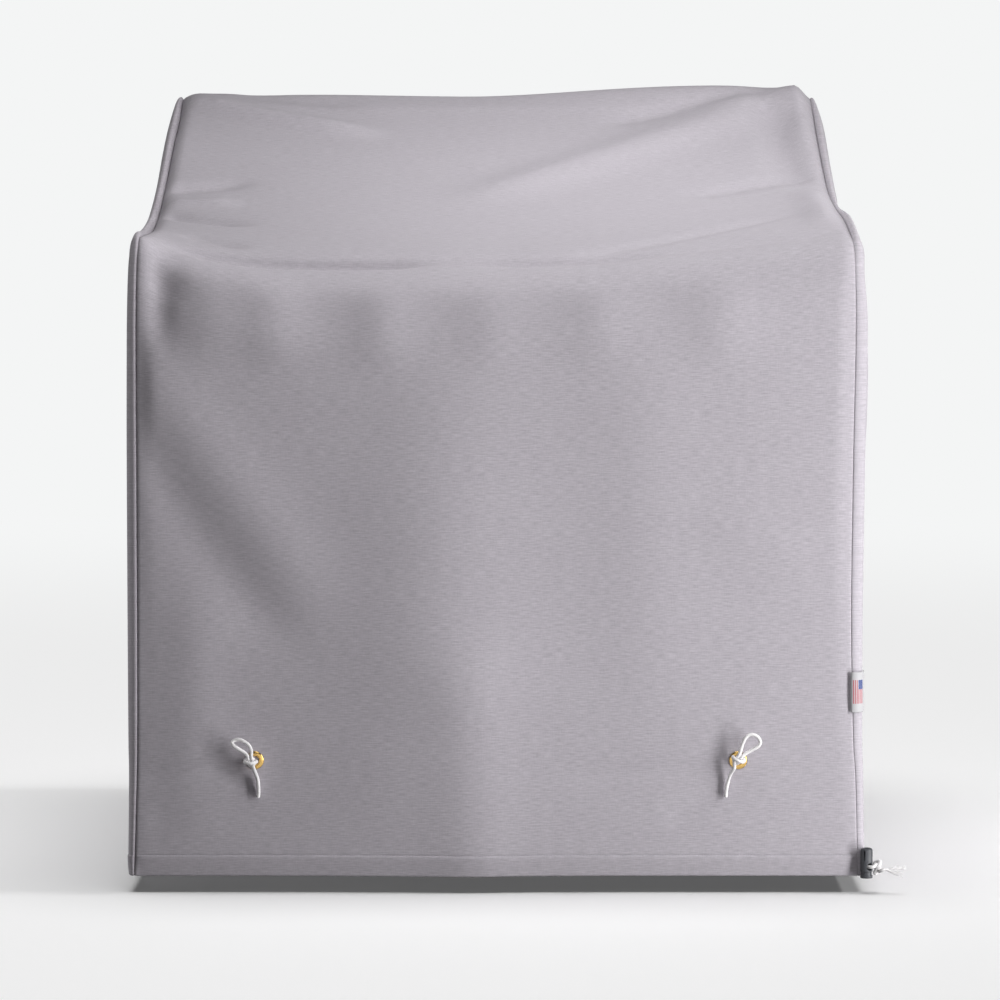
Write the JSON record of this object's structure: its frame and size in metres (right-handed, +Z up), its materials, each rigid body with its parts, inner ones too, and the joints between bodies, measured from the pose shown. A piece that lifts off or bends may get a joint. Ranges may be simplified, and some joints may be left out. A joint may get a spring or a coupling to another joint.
{
  "type": "lounge chair cover",
  "caption": "Fitted outdoor cover for a lounge chair, draped hollow cloth open below, with corded ties through eyelets, a side tag and a hem cord lock.",
  "frame": {"origin": "on the underside of the cloth in the middle of the crest, where what the cover hangs over holds it up", "axes": "+X to the right as seen from the front, +Y from the front to the back, +Z up"},
  "size_m": [0.8349, 0.8738, 0.8517],
  "materials": {
    "cloth": "matt plain-weave polyester canvas with slubby crossways yarns, grey with a lilac cast",
    "eyelet": "polished pressed brass",
    "cord": "white braided polyester cord",
    "tag": "pale grey woven label tape with a flag in red, white and blue",
    "cord_lock": "dark grey moulded nylon, satin"
  },
  "bodies": {
    "root": {"wide_panel": "cloth", "left_side_panel": "cloth", "right_side_panel": "cloth", "left_eyelet": "eyelet", "right_eyelet": "eyelet", "left_tie": "cord", "right_tie": "cord", "flag_tag": "tag", "cord_lock_barrel": "cord_lock", "cord_lock_plunger": "cord_lock", "hem_cord": "cord", "hem_cord_fray": "cord"}
  },
  "joints": []
}
